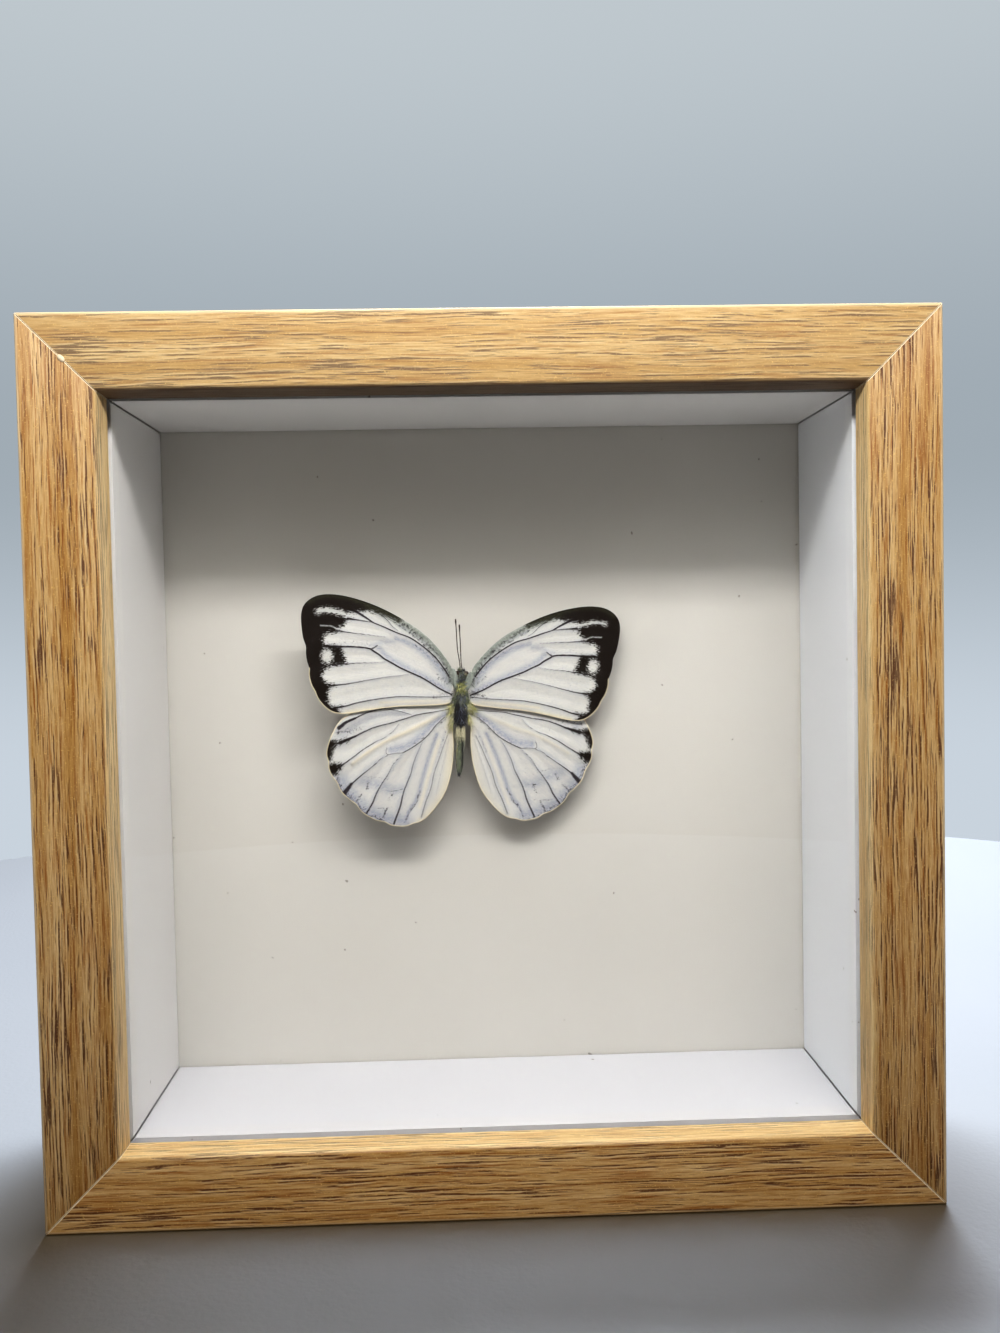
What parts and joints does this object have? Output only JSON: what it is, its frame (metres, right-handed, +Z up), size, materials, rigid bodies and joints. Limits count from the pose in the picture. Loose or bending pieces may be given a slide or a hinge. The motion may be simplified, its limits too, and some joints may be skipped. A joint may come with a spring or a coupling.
{
  "type": "framed butterfly specimen",
  "caption": "Spread white butterfly with black forewing tips, mounted behind glass in a square mitred shadow-box frame with white inner walls.",
  "frame": {"origin": "middle of the footprint on the surface that the bottom rail stands on", "axes": "+Z up, -Y out of the glass towards the viewer, +X to the viewer's right"},
  "size_m": [0.15, 0.046, 0.15],
  "materials": {
    "oak_foil": "satin oak-grain foil on fibreboard",
    "clear_glass": "clear polished float glass",
    "white_wall": "smooth matt white wrapped strip",
    "cream_board": "matt off-white mount board",
    "brown_hardboard": "smooth brown hardboard",
    "bent_steel": "thin plated steel",
    "brassed_steel": "brass-plated pressed steel",
    "foam": "white closed-cell foam",
    "white_wing": "matt white scaled wing with black markings",
    "dark_body": "dry hairy insect cuticle"
  },
  "bodies": {
    "root": {"rail_top": "oak_foil", "rail_left": "oak_foil", "rail_bottom": "oak_foil", "rail_right": "oak_foil", "glass_pane": "clear_glass", "wall_top": "white_wall", "wall_left": "white_wall", "wall_bottom": "white_wall", "wall_right": "white_wall", "mount_board": "cream_board", "backboard": "brown_hardboard", "backing_tab_1": "bent_steel", "backing_tab_2": "bent_steel", "backing_tab_3": "bent_steel", "backing_tab_4": "bent_steel", "backing_tab_5": "bent_steel", "backing_tab_6": "bent_steel", "backing_tab_7": "bent_steel", "backing_tab_8": "bent_steel", "hanger_plate": "brassed_steel", "hanger_nail_left": "bent_steel", "hanger_nail_right": "bent_steel", "foam_riser": "foam", "forewing_left": "white_wing", "forewing_right": "white_wing", "hindwing_left": "white_wing", "hindwing_right": "white_wing", "head": "dark_body", "thorax": "dark_body", "abdomen": "dark_body", "antenna_left": "dark_body", "antenna_right": "dark_body"}
  },
  "joints": []
}
